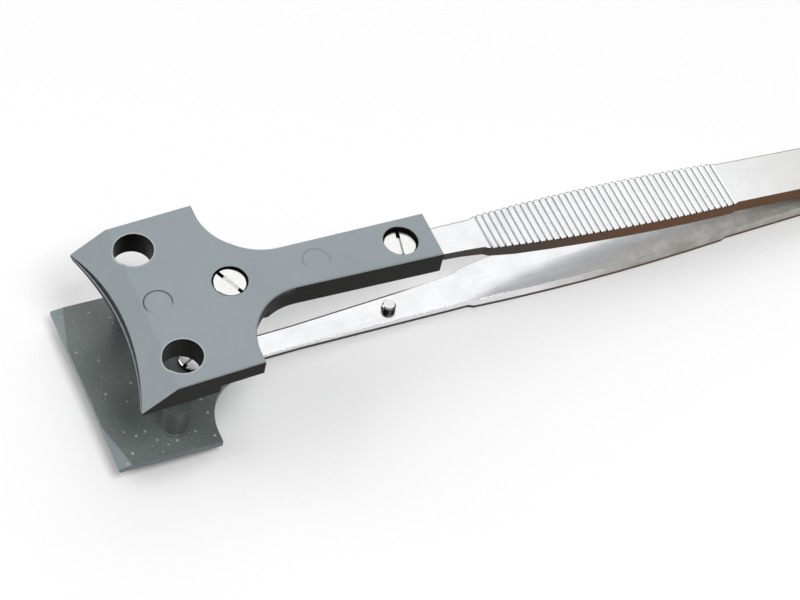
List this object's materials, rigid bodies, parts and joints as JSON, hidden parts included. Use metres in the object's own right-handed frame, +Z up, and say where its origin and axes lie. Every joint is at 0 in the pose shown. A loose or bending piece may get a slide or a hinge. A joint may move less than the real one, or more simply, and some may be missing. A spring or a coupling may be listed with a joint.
{
  "type": "wafer tweezers",
  "caption": "Steel spring tweezers with a crescent-fronted moulded upper jaw and a flat thin lower jaw with stop studs for gripping a wafer by its rim.",
  "frame": {"origin": "centre of the flat outer face of the lower leaf, behind its bend, on which the tweezers lie on the table", "axes": "+X towards the tail, +Y across, +Z up; the tweezers lie on the table at z = 0 with the upper jaw on top"},
  "size_m": [0.1394, 0.0274, 0.0186],
  "materials": {
    "steel": "polished",
    "screw_steel": "turned, polished",
    "jaw_plastic": "smooth moulded, satin",
    "plate_plastic": "smooth moulded, glossy"
  },
  "bodies": {
    "lower_half": {"lower_arm": "steel", "lower_jaw": "plate_plastic", "lower_jaw_screw": "screw_steel", "stop_pin": "screw_steel"},
    "upper_half": {"upper_arm": "steel", "upper_jaw": "jaw_plastic", "front_head_screw": "screw_steel", "rear_head_screw": "screw_steel"}
  },
  "joints": [
    {"name": "squeeze", "type": "hinge", "parent": "lower_half", "child": "upper_half", "pos_m": [0.03121, 0, 0.00223], "axis": [0, -1, 0], "range_deg": [0, 4.9], "stiffness_Nm_per_rad": 3}
  ]
}
